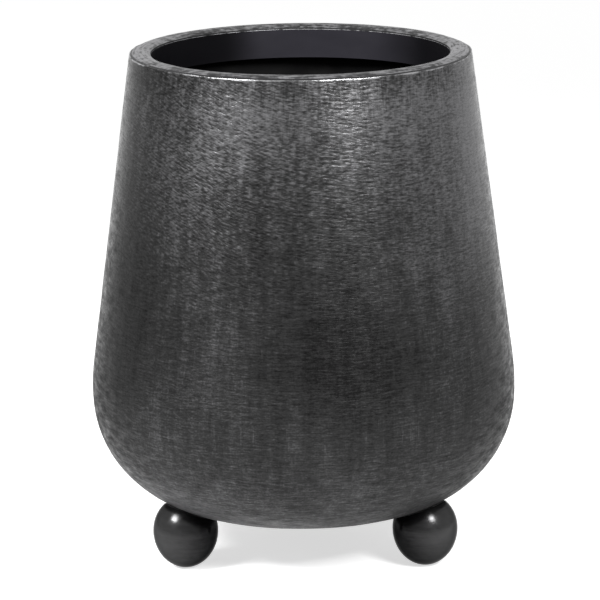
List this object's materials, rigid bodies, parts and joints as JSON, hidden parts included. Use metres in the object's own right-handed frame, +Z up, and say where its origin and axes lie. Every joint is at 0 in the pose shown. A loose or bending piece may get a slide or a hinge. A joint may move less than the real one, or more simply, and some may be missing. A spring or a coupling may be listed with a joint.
{
  "type": "footed planter",
  "caption": "Pear-shaped hammered metal floor planter with a crowned rim, a dark inner collar, ball feet and a pull-out drain plug.",
  "frame": {"origin": "on the floor under the planter's axis", "axes": "+Z up along the planter's axis, the front with its pair of feet faces -Y"},
  "size_m": [0.458, 0.4578, 0.551],
  "materials": {
    "hammered_steel": "hammered sheet with an aged graphite patina",
    "worn_steel": "brushed and worn along its edges",
    "black_satin": "satin black paint",
    "gunmetal_gloss": "polished dark gunmetal",
    "zinc_steel": "plated",
    "black_rubber": "matt",
    "black_nylon": "matt"
  },
  "bodies": {
    "planter": {"tapered_wall": "hammered_steel", "base_bowl": "hammered_steel", "rim_ring": "worn_steel", "inner_collar": "black_satin", "front_left_foot_ball": "gunmetal_gloss", "front_left_foot_gasket": "black_rubber", "front_left_foot_seat_plate": "zinc_steel", "front_left_foot_weld_nut": "zinc_steel", "front_left_foot_spreader": "zinc_steel", "front_left_foot_washer": "zinc_steel", "front_left_foot_bolt": "zinc_steel", "front_left_foot_glide": "black_nylon", "front_right_foot_ball": "gunmetal_gloss", "front_right_foot_gasket": "black_rubber", "front_right_foot_seat_plate": "zinc_steel", "front_right_foot_weld_nut": "zinc_steel", "front_right_foot_spreader": "zinc_steel", "front_right_foot_washer": "zinc_steel", "front_right_foot_bolt": "zinc_steel", "front_right_foot_glide": "black_nylon", "rear_foot_ball": "gunmetal_gloss", "rear_foot_gasket": "black_rubber", "rear_foot_seat_plate": "zinc_steel", "rear_foot_weld_nut": "zinc_steel", "rear_foot_spreader": "zinc_steel", "rear_foot_washer": "zinc_steel", "rear_foot_bolt": "zinc_steel", "rear_foot_glide": "black_nylon"},
    "plug": {"drain_plug": "black_rubber"}
  },
  "joints": [
    {"name": "plug_pull", "type": "slide", "parent": "planter", "child": "plug", "axis": [0, 0, -1], "range_m": [0, 0.03]}
  ]
}
